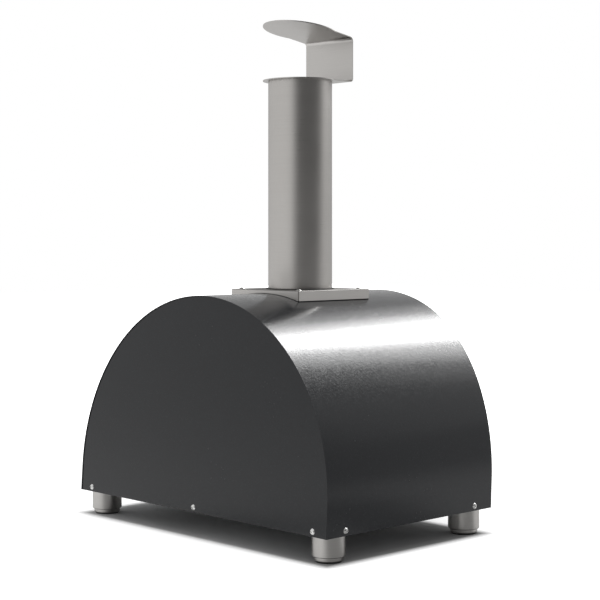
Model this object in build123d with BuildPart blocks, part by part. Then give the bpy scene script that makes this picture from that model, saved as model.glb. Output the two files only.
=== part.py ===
from build123d import *
import os
from math import asin, atan, cos, degrees, radians, sin, sqrt

os.makedirs("parts", exist_ok=True)

# Portable gas pizza oven. Millimetres, +Z up, mouth towards -Y, gas side at +X.
# The origin is on the ground, under the middle of the oven's overall box.

# Body
body_width = 600.0
body_depth = 374.0  # along the lower edge
ground_gap = 40.0  # ground to the body's lower edge
side_height = 42.0  # straight sides under the half-round vault
visor_reach = 58.0  # crown of the front edge ahead of its foot
visor_bow = 12.0  # how far that edge bows behind its chord
rear_lean = 20.0  # crown of the rear edge ahead of its foot
cover_sheet = 1.5
panel_sheet = 1.5
panel_inset = 1.0  # rear panel inside the cover's rear edge
facade_inset = 10.0  # facade behind the cover's front foot
seam = 0.3  # gap between neighbouring pieces
over = 5.0  # how far a cut runs past what it cuts

# Screws
screw_radius = 2.5
screw_hole_gap = 0.2
screw_head_radius = 4.75
screw_head_height = 2.6
screw_length = 9.0
screw_rise = 7.5  # above the body's lower edge
end_screw_inset = 29.5  # from the body's sides
side_screw_inset = 41.0  # from the body's ends

# Baking floor and base
deck_rise = 53.5  # deck's top above the body's lower edge
tile_thickness = 20.0
board_thickness = 16.5
deck_sheet = 1.5
tray_sheet = 2.0
tray_flange = 18.0
tray_bend = 3.0  # outer radius of the folds
tray_notch = 4.0  # open corner between two folded sides
tile_joint = 0.5
tile_side_gap = 13.0  # to the chamber's wall, at the baking floor
tile_burner_gap = 34.0  # to the burner's axis
tile_end_gap = 4.0
frame_sheet = 1.5
frame_drop = 4.0  # frame's top below the baking floor
slot_length = 46.0
slot_width = 6.0
slot_pitch = 16.0
slot_count = 5

# Baking chamber
blanket_thickness = 36.7
liner_sheet = 1.5
front_gap = 25.0
rear_gap = 45.0
cover_air = 6.5  # between blanket and cover
panel_air = 2.0  # between rear blanket and rear panel

# Mouth
mouth_jamb = 54.5  # chamber's wall to the mouth, at the top of its straight sides
mouth_head = 55.5  # chamber's crown to the mouth's
mouth_side = 35.0  # straight sides
trim_width = 9.0
sill_sheet = 2.0
sill_reach = 40.0
sill_lip = 14.0

# Flue
flue_ahead = 49.0  # axis ahead of the middle of the body's foot
pipe_radius = 54.0
pipe_wall = 1.5
pipe_rise = 350.0  # above the plate
pipe_fit = 0.08
pipe_seat = 10.0  # pipe's lower end under the plate's top
collar_wall = 1.5
collar_rise = 42.0  # above the plate's top
bead_width = 3.2
bead_depth = 2.5
plate_margin = 24.8  # round the flue's hole
plate_rise = 6.0  # above the crown
plate_sheet = 1.5
plate_seat = 0.5
plate_bend = 1.2
plate_web = 0.3  # aprons' corner joint, inside the open corner
plate_screw_inset = 13.0
flue_clear = 3.7  # round the pipe, in plate and cover

# Chimney cap
ring_overhang = 9.0  # past the pipe
ring_inset = 5.0  # ring's bore inside the pipe
cap_sheet = 1.5
leaf_shoulder = 6.5  # each side of the leaf inside the ring
leaf_gap = 6.5  # ring to the middle of the upright
cap_height = 75.0  # pipe's top to the roof at its bend
roof_rise = 21.0
lower_bend = 5.0
upper_bend = 7.0
spigot_wall = 1.4
spigot_depth = 30.0

# Feet
foot_radius = 25.0
foot_side_inset = 29.0
foot_end_inset = 34.0
foot_bevel = 1.0
foot_cap = 9.0  # solid top of the foot
glide_height = 8.2
glide_radius = 22.0
glide_bevel = 2.0
glide_gap = 0.3
stem_radius = 10.0
stem_fit = 0.08
stem_play = 2.8  # above the stem, in the foot's bore
pad_thickness = 1.5
pad_radius = 19.0
foot_bolt_radius = 4.0
foot_bolt_head = 6.5
foot_bolt_head_height = 4.4
foot_bolt_length = 9.0
foot_bolt_gap = 0.15

# Door
door_overlap = 9.0
door_sheet = 2.0
door_gap = 0.5
door_play = 6.0
door_plug = 15.0
grip_length = 170.0
grip_radius = 9.0
grip_drop = 62.0  # below the mouth's crown
grip_end_bevel = 2.0
post_length = 30.0
post_radius = 5.0
post_span = 120.0

# Burner
burner_clear = 6.6  # to the chamber's wall
burner_radius = 12.5
burner_wall = 1.2
burner_rise = 24.0  # tube's axis above the baking floor
burner_bend = 30.0
burner_tail = 14.0  # open lower end, below the deck
burner_front = 46.0  # riser behind the chamber's front wall
burner_rear = 26.0  # closed end ahead of the chamber's rear wall
port_length = 13.0
port_width = 2.5
port_end_gap = 27.25
port_count = 6
bracket_sheet = 2.0
bracket_width = 34.0
bracket_front = 50.0
bracket_rear = 35.0
guard_gap = 4.0  # behind the tiles' edge
guard_sheet = 1.5
guard_rise = 30.0
guard_foot = 12.0
guard_hole_radius = 4.0
guard_end_gap = 41.75
guard_hole_count = 7

# Gas valve and knob
valve_width = 34.0
valve_height = 28.0
valve_length = 44.0
valve_rise = 27.0  # axis above the body's lower edge
valve_setback = 3.0
valve_round = 3.0
valve_nose_radius = 9.0
plunger_radius = 6.0
plunger_length = 14.0
spindle_radius = 4.0
spindle_fit = 0.06
spindle_depth = 16.0  # inside the valve
push_travel = 3.0
knob_radius = 20.0
knob_depth = 21.0
knob_skirt = 5.0
knob_grip_width = 11.0
knob_gap = 4.5  # knob's back ahead of the bezel
knob_bevel = 1.5
knob_bore = 15.0
bezel_radius = 25.0
bezel_sheet = 1.5
nozzle_radius = 6.0
nozzle_tip_radius = 3.0
nozzle_drop = 7.0  # below the valve's axis
nozzle_gap = 7.0  # under the burner's open end
pipe_line_radius = 5.0
pipe_line_bore = 3.6
pipe_line_bend = 20.0
inlet_side = 74.0  # from the valve's axis towards the middle
inlet_setback = 160.0  # behind the valve
inlet_radius = 6.58
inlet_hex = 11.0
inlet_reach = 22.0  # below the tray
inlet_hole_gap = 1.0
probe_radius = 2.2
probe_setback = 70.0
electrode_radius = 3.6
electrode_wire = 1.0
electrode_setback = 92.0
probe_side = 19.0  # beside the burner's axis
fitting_radius = 4.6
fitting_height = 4.0
fitting_tail = 12.0  # rods below the deck
probe_rise = 34.0  # above the baking floor

# Places worked out from the sizes
cover_radius = body_width / 2
spring_height = ground_gap + side_height
crown_height = spring_height + cover_radius
cover_inner = cover_radius - cover_sheet
wall_height = crown_height - ground_gap
rear_slope = rear_lean / wall_height
lean_angle = degrees(atan(rear_slope))
panel_across = panel_sheet / cos(radians(lean_angle))
head_reach = screw_head_height - panel_inset - rear_slope * screw_rise
overall_depth = body_depth + visor_reach + head_reach
rear_y = overall_depth / 2 - head_reach
front_y = rear_y - body_depth
facade_y = front_y + facade_inset
facade_back = facade_y + panel_sheet
screw_height = ground_gap + screw_rise
screw_hole = screw_radius + screw_hole_gap

tray_top = ground_gap + tray_sheet
tray_half = cover_inner - seam
tray_front = facade_back + seam
tray_rear = rear_y - rear_slope * tray_flange - panel_inset - panel_across - seam
board_bottom = ground_gap + deck_rise
floor_height = board_bottom + board_thickness + tile_thickness
deck_bottom = board_bottom - deck_sheet
deck_half = tray_half - tray_sheet - seam

blanket_radius = cover_inner - cover_air
vault_outer = blanket_radius - blanket_thickness - seam
chamber_radius = vault_outer - liner_sheet
inner_front = facade_back + front_gap
chamber_front = inner_front + liner_sheet
inner_rear = rear_y - rear_gap
chamber_rear = inner_rear - liner_sheet
sill_bottom = floor_height - sill_sheet
tile_front = chamber_front + tile_end_gap
tile_rear = chamber_rear - tile_end_gap

flue_y = (rear_y + front_y) / 2 - flue_ahead
plate_top = crown_height + plate_rise
pipe_top = plate_top + pipe_rise
pipe_bottom = plate_top - pipe_seat
collar_radius = pipe_radius - pipe_wall - pipe_fit
flue_hole = pipe_radius + flue_clear
plate_side = 2 * (flue_hole + plate_margin)
ring_radius = pipe_radius + ring_overhang
ring_bore = pipe_radius - ring_inset
leaf_width = 2 * (ring_radius - leaf_shoulder)
leaf_reach = ring_radius + leaf_gap

chamber_crown = spring_height + chamber_radius
mouth_rise = chamber_crown - mouth_head - floor_height
mouth_side_height = floor_height + mouth_side
mouth_width = 2 * (sqrt(chamber_radius**2 - (mouth_side_height - spring_height) ** 2) - mouth_jamb)
grip_height = floor_height + mouth_rise - grip_drop

knob_y = facade_y - bezel_sheet - knob_gap
valve_axis = ground_gap + valve_rise
valve_front = facade_back + valve_setback
valve_rear = valve_front + valve_length
spindle_end = valve_front + spindle_depth
burner_y = chamber_front + burner_front
burner_end = chamber_rear - burner_rear
burner_axis = floor_height + burner_rise
burner_wall_x = sqrt(chamber_radius**2 - (burner_axis - spring_height) ** 2)
burner_x = burner_wall_x - burner_clear - burner_radius
burner_foot = deck_bottom - burner_tail
nozzle_axis = valve_axis - nozzle_drop
inlet_x = burner_x - inlet_side
inlet_y = valve_rear + inlet_setback
tile_left_x = tile_side_gap - sqrt(chamber_radius**2 - (floor_height - spring_height) ** 2)
tile_right_x = burner_x - tile_burner_gap
guard_x = tile_right_x + guard_gap
probe_x = burner_x - probe_side
foot_x = body_width / 2 - foot_side_inset
foot_rear_y = rear_y - foot_end_inset
foot_front_y = front_y + foot_end_inset
foot_bottom = glide_height + glide_gap
stem_top = ground_gap - foot_cap - stem_play


def rear_edge(height):
    """Y of the cover's leaning rear edge at a height above the ground."""
    return rear_y - rear_slope * (height - ground_gap)


def round_height(radius, across):
    """Height of a round of that radius about the vault's axis, at a distance across."""
    return spring_height + sqrt(radius**2 - across**2)


def upright_plane(y):
    """Plane in X and Z at that y; its extrusions run towards the mouth."""
    return Plane.XZ.offset(-y)


def arch_face(radius, bottom):
    """Half circle on straight sides, down to the given height."""
    with BuildSketch() as face:
        with BuildLine():
            Line((radius, bottom), (radius, spring_height))
            ThreePointArc((radius, spring_height), (0, spring_height + radius), (-radius, spring_height))
            Line((-radius, spring_height), (-radius, bottom))
            Line((-radius, bottom), (radius, bottom))
        make_face()
    return face.sketch


def cut_arch_face(radius, bottom):
    """Part of a full circle about the vault's axis that lies above a height over that axis."""
    half = sqrt(radius**2 - (bottom - spring_height) ** 2)
    with BuildSketch() as face:
        with BuildLine():
            ThreePointArc((half, bottom), (0, spring_height + radius), (-half, bottom))
            Line((-half, bottom), (half, bottom))
        make_face()
    return face.sketch


def mouth_face(grow, bottom):
    """Mouth's outline, grown or shrunk all round, down to the given height."""
    half = mouth_width / 2 + grow
    side = mouth_side_height
    with BuildSketch() as face:
        with BuildLine():
            Line((half, bottom), (half, side))
            ThreePointArc((half, side), (0, floor_height + mouth_rise + grow), (-half, side))
            Line((-half, side), (-half, bottom))
            Line((-half, bottom), (half, bottom))
        make_face()
    return face.sketch


def leaning_band(front_offset, rear_offset):
    """Side view of a band along the leaning rear edge, between two distances ahead of it."""
    low = ground_gap - over
    high = crown_height + over
    with BuildSketch() as face:
        with BuildLine():
            Polyline(
                (rear_edge(low) - rear_offset, low),
                (rear_edge(high) - rear_offset, high),
                (rear_edge(high) - front_offset, high),
                (rear_edge(low) - front_offset, low),
                close=True,
            )
        make_face()
    return face.sketch


def button_screw(length):
    """Dome-headed screw: seat at Z 0, head up, shank down."""
    dome_radius = (screw_head_radius**2 + screw_head_height**2) / (2 * screw_head_height)
    half_angle = asin(screw_head_radius / dome_radius) / 2
    dome_mid = (dome_radius * sin(half_angle), screw_head_height - dome_radius * (1 - cos(half_angle)))
    with BuildPart() as screw:
        with BuildSketch(Plane.XZ):
            with BuildLine():
                Line((0, screw_head_height), (0, -length))
                Line((0, -length), (screw_radius, -length))
                Line((screw_radius, -length), (screw_radius, 0))
                Line((screw_radius, 0), (screw_head_radius, 0))
                ThreePointArc((screw_head_radius, 0), dome_mid, (0, screw_head_height))
            make_face()
        revolve(axis=Axis.Z)
    return screw.part


def screw_group(planes, length):
    """One screw on each plane, its head on the plane's outer side."""
    with BuildPart() as group:
        with Locations(*[plane.location for plane in planes]):
            add(button_screw(length))
    return group.part


# Places of the screws, each a plane on the head's seat looking outwards
end_screw_x = body_width / 2 - end_screw_inset
rear_seat = rear_edge(screw_height) - panel_inset
rear_out = (0, cos(radians(lean_angle)), sin(radians(lean_angle)))
rear_screw_planes = [
    Plane(origin=(x, rear_seat, screw_height), x_dir=(1, 0, 0), z_dir=rear_out)
    for x in (-end_screw_x, 0, end_screw_x)
]
facade_screw_planes = [
    Plane(origin=(x, facade_y, screw_height), x_dir=(1, 0, 0), z_dir=(0, -1, 0))
    for x in (-end_screw_x, 0, end_screw_x)
]
side_screw_planes = [
    Plane(origin=(side * cover_radius, y, screw_height), x_dir=(0, 1, 0), z_dir=(side, 0, 0))
    for side in (-1, 1)
    for y in (front_y + side_screw_inset, rear_y - side_screw_inset)
]
plate_screw_reach = plate_side / 2 - plate_screw_inset
plate_screw_planes = [
    Plane(origin=(x, flue_y + y, plate_top), x_dir=(1, 0, 0), z_dir=(0, 0, 1))
    for x in (-plate_screw_reach, plate_screw_reach)
    for y in (-plate_screw_reach, plate_screw_reach)
]
plate_screw_length = plate_top - round_height(cover_inner, plate_screw_reach) + seam
foot_places = {
    "front_left": (-foot_x, foot_front_y),
    "front_right": (foot_x, foot_front_y),
    "rear_left": (-foot_x, foot_rear_y),
    "rear_right": (foot_x, foot_rear_y),
}

# Vault cover: bent sheet with a leaning rear edge and a visor over the mouth
with BuildPart() as vault_cover:
    with BuildSketch(upright_plane(rear_y)):
        add(arch_face(cover_radius, ground_gap))
        add(arch_face(cover_inner, ground_gap - over), mode=Mode.SUBTRACT)
    extrude(amount=body_depth + visor_reach + over)
    with BuildSketch(Plane.YZ.offset(-cover_radius - over)):
        with BuildLine():
            chord_y = front_y - visor_reach / 2
            chord_z = ground_gap + wall_height / 2
            chord_length = sqrt(visor_reach**2 + wall_height**2)
            bow_y = visor_bow * wall_height / chord_length
            bow_z = visor_bow * visor_reach / chord_length
            visor_tip = (front_y - visor_reach, crown_height)
            front_foot = (front_y, ground_gap)
            rear_foot = (rear_edge(ground_gap - over), ground_gap - over)
            rear_crown = (rear_edge(crown_height + over), crown_height + over)
            Line(rear_foot, rear_crown)
            Line(rear_crown, (front_y - visor_reach, crown_height + over))
            Line((front_y - visor_reach, crown_height + over), visor_tip)
            ThreePointArc(visor_tip, (chord_y + bow_y, chord_z + bow_z), front_foot)
            Line(front_foot, (front_y, ground_gap - over))
            Line((front_y, ground_gap - over), rear_foot)
        make_face()
    extrude(amount=body_width + 2 * over, mode=Mode.INTERSECT)
    with BuildSketch(Plane.XY.offset(spring_height)):
        with Locations((0, flue_y)):
            Circle(flue_hole)
    extrude(amount=cover_radius + over, mode=Mode.SUBTRACT)
    with BuildSketch(Plane.XY.offset(spring_height)):
        with Locations((0, flue_y)):
            with GridLocations(2 * plate_screw_reach, 2 * plate_screw_reach, 2, 2):
                Circle(screw_hole)
    extrude(amount=cover_radius + over, mode=Mode.SUBTRACT)
    with BuildSketch(Plane.YZ.offset(-cover_radius - over)):
        with Locations((front_y + side_screw_inset, screw_height), (rear_y - side_screw_inset, screw_height)):
            Circle(screw_hole)
    extrude(amount=body_width + 2 * over, mode=Mode.SUBTRACT)
vault_cover.part.label = "vault_cover"
export_step(vault_cover.part, "parts/vault_cover.step")

# Rear panel: flat plate that leans with the cover's rear edge
with BuildPart() as rear_panel:
    with BuildSketch(upright_plane(rear_y + over)):
        add(arch_face(cover_inner - seam, ground_gap))
    extrude(amount=rear_lean + rear_gap)
    with BuildSketch(Plane.YZ.offset(-cover_radius)):
        add(leaning_band(panel_inset + panel_across, panel_inset))
    extrude(amount=body_width, mode=Mode.INTERSECT)
    for place in rear_screw_planes:
        with BuildSketch(place.offset(over)):
            Circle(screw_hole)
        extrude(amount=-2 * over, mode=Mode.SUBTRACT)
rear_panel.part.label = "rear_panel"
export_step(rear_panel.part, "parts/rear_panel.step")

# Facade: flat plate with the mouth, the knob's hole and the screw holes
with BuildPart() as facade:
    with BuildSketch(upright_plane(facade_back)):
        add(arch_face(cover_inner - seam, ground_gap))
        add(mouth_face(0, sill_bottom - seam), mode=Mode.SUBTRACT)
        with Locations((burner_x, valve_axis)):
            Circle(valve_nose_radius + seam, mode=Mode.SUBTRACT)
        with Locations((-end_screw_x, screw_height), (0, screw_height), (end_screw_x, screw_height)):
            Circle(screw_hole, mode=Mode.SUBTRACT)
    extrude(amount=panel_sheet)
facade.part.label = "facade"
export_step(facade.part, "parts/facade.step")

# Base tray: folded up on four sides, open at the corners, with air slots under the burner
tray_length = tray_rear - tray_front
tray_middle = (tray_rear + tray_front) / 2
with BuildPart() as base_tray:
    with BuildSketch(Plane.XY.offset(ground_gap)):
        with Locations((0, tray_middle)):
            Rectangle(2 * tray_half, tray_length)
    extrude(amount=tray_flange)
    fillet(base_tray.edges().group_by(Axis.Z)[0], radius=tray_bend)
    with BuildSketch(Plane.XY.offset(ground_gap + tray_flange)):
        with Locations((0, tray_middle)):
            Rectangle(2 * (tray_half - tray_sheet), tray_length - 2 * tray_sheet)
    extrude(amount=tray_sheet - tray_flange, mode=Mode.SUBTRACT)
    with BuildSketch(Plane.XY.offset(ground_gap)):
        with Locations((0, tray_middle)):
            with GridLocations(2 * tray_half, tray_length, 2, 2):
                Rectangle(2 * tray_notch, 2 * tray_notch)
    extrude(amount=tray_flange, mode=Mode.SUBTRACT)
    with BuildSketch(Plane.XY.offset(ground_gap)):
        with Locations(*foot_places.values()):
            Circle(foot_bolt_radius + foot_bolt_gap)
        with Locations((inlet_x, inlet_y)):
            Circle(inlet_radius + inlet_hole_gap)
        with Locations((burner_x, burner_y + slot_pitch * slot_count)):
            with GridLocations(slot_length, slot_pitch, 1, slot_count):
                SlotOverall(slot_length, slot_width)
    extrude(amount=tray_sheet, mode=Mode.SUBTRACT)
    with BuildSketch(Plane.YZ.offset(-cover_radius)):
        with Locations((front_y + side_screw_inset, screw_height), (rear_y - side_screw_inset, screw_height)):
            Circle(screw_hole)
    extrude(amount=body_width, mode=Mode.SUBTRACT)
    with BuildSketch(upright_plane(rear_y)):
        with Locations((-end_screw_x, screw_height), (0, screw_height), (end_screw_x, screw_height)):
            Circle(screw_hole + seam)
    extrude(amount=body_depth, mode=Mode.SUBTRACT)
base_tray.part.label = "base_tray"
export_step(base_tray.part, "parts/base_tray.step")

# Floor deck: carries the baking floor, on two folded sides that stand in the tray
deck_front = tray_front + tray_sheet + seam
deck_rear = tray_rear - tray_sheet - seam
deck_middle = (deck_front + deck_rear) / 2
deck_length = deck_rear - deck_front
with BuildPart() as floor_deck:
    with BuildSketch(upright_plane(deck_rear)):
        with BuildLine():
            Polyline(
                (-deck_half, tray_top),
                (-deck_half, board_bottom),
                (deck_half, board_bottom),
                (deck_half, tray_top),
                (deck_half - deck_sheet, tray_top),
                (deck_half - deck_sheet, deck_bottom),
                (deck_sheet - deck_half, deck_bottom),
                (deck_sheet - deck_half, tray_top),
                close=True,
            )
        make_face()
    extrude(amount=deck_length)
    with BuildSketch(Plane.XY.offset(deck_bottom)):
        with Locations((burner_x, burner_y)):
            Circle(burner_radius + 2 * seam)
        with Locations((probe_x, burner_y + probe_setback)):
            Circle(probe_radius + seam)
        with Locations((probe_x, burner_y + electrode_setback)):
            Circle(electrode_radius + seam)
    extrude(amount=deck_sheet, mode=Mode.SUBTRACT)
    with BuildSketch(Plane.YZ.offset(-cover_radius)):
        with Locations((front_y + side_screw_inset, screw_height), (rear_y - side_screw_inset, screw_height)):
            Circle(screw_hole)
    extrude(amount=body_width, mode=Mode.SUBTRACT)
floor_deck.part.label = "floor_deck"
export_step(floor_deck.part, "parts/floor_deck.step")

# Insulation board and two refractory tiles, inside a frame of upright strip
bed_width = tile_right_x - tile_left_x
bed_middle = (tile_right_x + tile_left_x) / 2
bed_length = tile_rear - tile_front
bed_y = (tile_front + tile_rear) / 2
with BuildPart() as floor_board:
    with BuildSketch(Plane.XY.offset(board_bottom)):
        with Locations((bed_middle, bed_y)):
            Rectangle(bed_width, bed_length)
    extrude(amount=board_thickness)
floor_board.part.label = "floor_board"
export_step(floor_board.part, "parts/floor_board.step")

tile_width = (bed_width - tile_joint) / 2
for name, tile_x in (("floor_tile_left", tile_left_x), ("floor_tile_right", tile_right_x - tile_width)):
    with BuildPart() as floor_tile:
        with BuildSketch(Plane.XY.offset(floor_height - tile_thickness)):
            with Locations((tile_x + tile_width / 2, bed_y)):
                Rectangle(tile_width, bed_length)
        extrude(amount=tile_thickness)
        chamfer(floor_tile.faces().sort_by(Axis.Z)[-1].edges(), length=tile_joint)
    floor_tile.part.label = name
    export_step(floor_tile.part, "parts/" + name + ".step")

with BuildPart() as tile_frame:
    with BuildSketch(Plane.XY.offset(board_bottom)):
        with Locations((bed_middle, bed_y)):
            Rectangle(bed_width + 2 * (seam + frame_sheet), bed_length + 2 * (seam + frame_sheet))
            Rectangle(bed_width + 2 * seam, bed_length + 2 * seam, mode=Mode.SUBTRACT)
    extrude(amount=floor_height - frame_drop - board_bottom)
tile_frame.part.label = "tile_frame"
export_step(tile_frame.part, "parts/tile_frame.step")

# Baking chamber: inner vault between a front wall with the mouth and a plain rear wall
with BuildPart() as inner_vault:
    with BuildSketch(upright_plane(inner_rear)):
        add(cut_arch_face(vault_outer, board_bottom + seam))
        add(cut_arch_face(chamber_radius, board_bottom), mode=Mode.SUBTRACT)
    extrude(amount=inner_rear - inner_front)
    with BuildSketch(Plane.XY.offset(spring_height)):
        with Locations((0, flue_y)):
            Circle(collar_radius - collar_wall)
    extrude(amount=cover_radius, mode=Mode.SUBTRACT)
inner_vault.part.label = "inner_vault"
export_step(inner_vault.part, "parts/inner_vault.step")

with BuildPart() as inner_front_wall:
    with BuildSketch(upright_plane(chamber_front)):
        add(cut_arch_face(chamber_radius - seam, board_bottom + seam))
        add(mouth_face(0, sill_bottom - seam), mode=Mode.SUBTRACT)
    extrude(amount=liner_sheet)
inner_front_wall.part.label = "inner_front_wall"
export_step(inner_front_wall.part, "parts/inner_front_wall.step")

with BuildPart() as inner_rear_wall:
    with BuildSketch(upright_plane(inner_rear)):
        add(cut_arch_face(chamber_radius - seam, board_bottom + seam))
    extrude(amount=liner_sheet)
inner_rear_wall.part.label = "inner_rear_wall"
export_step(inner_rear_wall.part, "parts/inner_rear_wall.step")

# Mouth liner: arched tunnel through the insulation, with a trim round the mouth
with BuildPart() as mouth_liner:
    with BuildSketch(upright_plane(chamber_front)):
        add(mouth_face(-seam, floor_height + seam))
        add(mouth_face(-seam - liner_sheet, floor_height - over), mode=Mode.SUBTRACT)
    extrude(amount=chamber_front - facade_y)
    with BuildSketch(upright_plane(facade_y)):
        add(mouth_face(trim_width, floor_height + seam))
        add(mouth_face(-seam - liner_sheet, floor_height - over), mode=Mode.SUBTRACT)
    extrude(amount=liner_sheet)
mouth_liner.part.label = "mouth_liner"
export_step(mouth_liner.part, "parts/mouth_liner.step")

# Hearth sill: flat sheet from the tiles out through the mouth, with a turned-down lip
sill_front = facade_y - sill_reach
sill_rear = tile_front - seam
with BuildPart() as hearth_sill:
    with BuildSketch(Plane.YZ.offset(-mouth_width / 2 + seam)):
        with BuildLine():
            Polyline(
                (sill_rear, floor_height),
                (sill_front, floor_height),
                (sill_front, floor_height - sill_lip),
                (sill_front + sill_sheet, floor_height - sill_lip),
                (sill_front + sill_sheet, sill_bottom),
                (sill_rear, sill_bottom),
                close=True,
            )
        make_face()
    extrude(amount=mouth_width - 2 * seam)
    fillet(hearth_sill.edges().filter_by(Axis.X).group_by(Axis.Y)[0].sort_by(Axis.Z)[-1], radius=sill_sheet)
hearth_sill.part.label = "hearth_sill"
export_step(hearth_sill.part, "parts/hearth_sill.step")

# Insulation: blanket over the inner vault, a front pad round the mouth, a rear pad
with BuildPart() as vault_blanket:
    with BuildSketch(upright_plane(inner_rear)):
        add(cut_arch_face(blanket_radius, board_bottom + seam))
        add(cut_arch_face(vault_outer + seam, board_bottom), mode=Mode.SUBTRACT)
    extrude(amount=inner_rear - facade_back - seam)
    with BuildSketch(Plane.XY.offset(spring_height)):
        with Locations((0, flue_y)):
            Circle(collar_radius + seam)
    extrude(amount=cover_radius, mode=Mode.SUBTRACT)
vault_blanket.part.label = "vault_blanket"
export_step(vault_blanket.part, "parts/vault_blanket.step")

with BuildPart() as front_pad:
    with BuildSketch(upright_plane(inner_front - seam)):
        add(cut_arch_face(vault_outer, board_bottom + seam))
        add(mouth_face(0, sill_bottom - seam), mode=Mode.SUBTRACT)
    extrude(amount=front_gap - 2 * seam)
front_pad.part.label = "front_pad"
export_step(front_pad.part, "parts/front_pad.step")

with BuildPart() as rear_pad:
    with BuildSketch(upright_plane(rear_y)):
        add(cut_arch_face(blanket_radius, board_bottom + seam))
    extrude(amount=rear_gap - seam)
    with BuildSketch(Plane.YZ.offset(-cover_radius)):
        add(leaning_band(rear_gap + rear_lean, panel_inset + panel_across + panel_air))
    extrude(amount=body_width, mode=Mode.INTERSECT)
rear_pad.part.label = "rear_pad"
export_step(rear_pad.part, "parts/rear_pad.step")

# Flue collar: saddle-cut tube on the inner vault, with a bead that carries the pipe
with BuildPart() as flue_collar:
    with BuildSketch(Plane.XY.offset(spring_height)):
        with Locations((0, flue_y)):
            Circle(collar_radius)
            Circle(collar_radius - collar_wall, mode=Mode.SUBTRACT)
    extrude(amount=plate_top + collar_rise - spring_height)
    with BuildSketch(Plane.XY.offset(pipe_bottom - bead_depth)):
        with Locations((0, flue_y)):
            Circle(collar_radius + bead_width)
            Circle(collar_radius - collar_wall, mode=Mode.SUBTRACT)
    extrude(amount=bead_depth)
    with BuildSketch(upright_plane(rear_y)):
        with Locations((0, spring_height)):
            Circle(vault_outer + seam)
    extrude(amount=body_depth + visor_reach, mode=Mode.SUBTRACT)
flue_collar.part.label = "flue_collar"
export_step(flue_collar.part, "parts/flue_collar.step")

# Flue plate: square sheet on the crown, open at the corners, its aprons cut to the vault's round
with BuildPart() as flue_plate:
    with BuildSketch(Plane.XY.offset(spring_height)):
        with Locations((0, flue_y)):
            Rectangle(plate_side, plate_side)
    extrude(amount=plate_top - spring_height)
    fillet(flue_plate.faces().sort_by(Axis.Z)[-1].edges(), radius=plate_bend)
    with BuildSketch(Plane.XY.offset(spring_height)):
        with Locations((0, flue_y)):
            Rectangle(plate_side - 2 * plate_sheet, plate_side - 2 * plate_sheet)
    extrude(amount=plate_top - plate_sheet - spring_height, mode=Mode.SUBTRACT)
    with BuildSketch(Plane.XY.offset(spring_height)):
        with Locations((0, flue_y)):
            with GridLocations(plate_side, plate_side, 2, 2):
                Rectangle(2 * (plate_sheet - plate_web), 2 * (plate_sheet - plate_web))
    extrude(amount=plate_top - spring_height, mode=Mode.SUBTRACT)
    with BuildSketch(Plane.XY.offset(plate_top - plate_sheet)):
        with Locations((0, flue_y)):
            Circle(flue_hole)
            with GridLocations(2 * plate_screw_reach, 2 * plate_screw_reach, 2, 2):
                Circle(screw_hole)
    extrude(amount=plate_sheet, mode=Mode.SUBTRACT)
    with BuildSketch(upright_plane(rear_y)):
        with Locations((0, spring_height)):
            Circle(cover_radius + plate_seat)
    extrude(amount=body_depth + visor_reach, mode=Mode.SUBTRACT)
flue_plate.part.label = "flue_plate"
export_step(flue_plate.part, "parts/flue_plate.step")

# Flue pipe: slips over the collar and stands on its bead
with BuildPart() as flue_pipe:
    with BuildSketch(Plane.XY.offset(pipe_bottom)):
        with Locations((0, flue_y)):
            Circle(pipe_radius)
            Circle(pipe_radius - pipe_wall, mode=Mode.SUBTRACT)
    extrude(amount=pipe_top - pipe_bottom)
flue_pipe.part.label = "flue_pipe"
export_step(flue_pipe.part, "parts/flue_pipe.step")

# Chimney cap: one strip, bent up from the ring and back over it as a leaf-shaped roof
ring_level = pipe_top + cap_sheet / 2
roof_level = pipe_top + cap_height
with BuildPart() as chimney_cap:
    with BuildLine(Plane.YZ) as cap_path:
        FilletPolyline(
            (flue_y + ring_radius, ring_level),
            (flue_y - leaf_reach, ring_level),
            (flue_y - leaf_reach, roof_level),
            (flue_y + ring_radius, roof_level + roof_rise),
            radius=[lower_bend, upper_bend],
        )
    with BuildSketch(Plane(origin=cap_path.line @ 0, x_dir=(1, 0, 0), z_dir=cap_path.line % 0)):
        Rectangle(2 * ring_radius, cap_sheet)
    sweep(path=cap_path.line)
    with BuildSketch(Plane.XY.offset(pipe_top - over)):
        with Locations((0, flue_y)):
            Circle(ring_radius)
        with Locations((0, flue_y - (leaf_reach + cap_sheet) / 2)):
            Rectangle(leaf_width, leaf_reach + cap_sheet)
    extrude(amount=cap_height + roof_rise + 2 * over, mode=Mode.INTERSECT)
    with BuildSketch(Plane.XY.offset(pipe_top)):
        with Locations((0, flue_y)):
            Circle(ring_bore)
    extrude(amount=cap_sheet, mode=Mode.SUBTRACT)
chimney_cap.part.label = "chimney_cap"
export_step(chimney_cap.part, "parts/chimney_cap.step")

with BuildPart() as cap_spigot:
    with BuildSketch(Plane.XY.offset(pipe_top - spigot_depth)):
        with Locations((0, flue_y)):
            Circle(collar_radius)
            Circle(collar_radius - spigot_wall, mode=Mode.SUBTRACT)
    extrude(amount=spigot_depth)
cap_spigot.part.label = "cap_spigot"
export_step(cap_spigot.part, "parts/cap_spigot.step")

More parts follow.
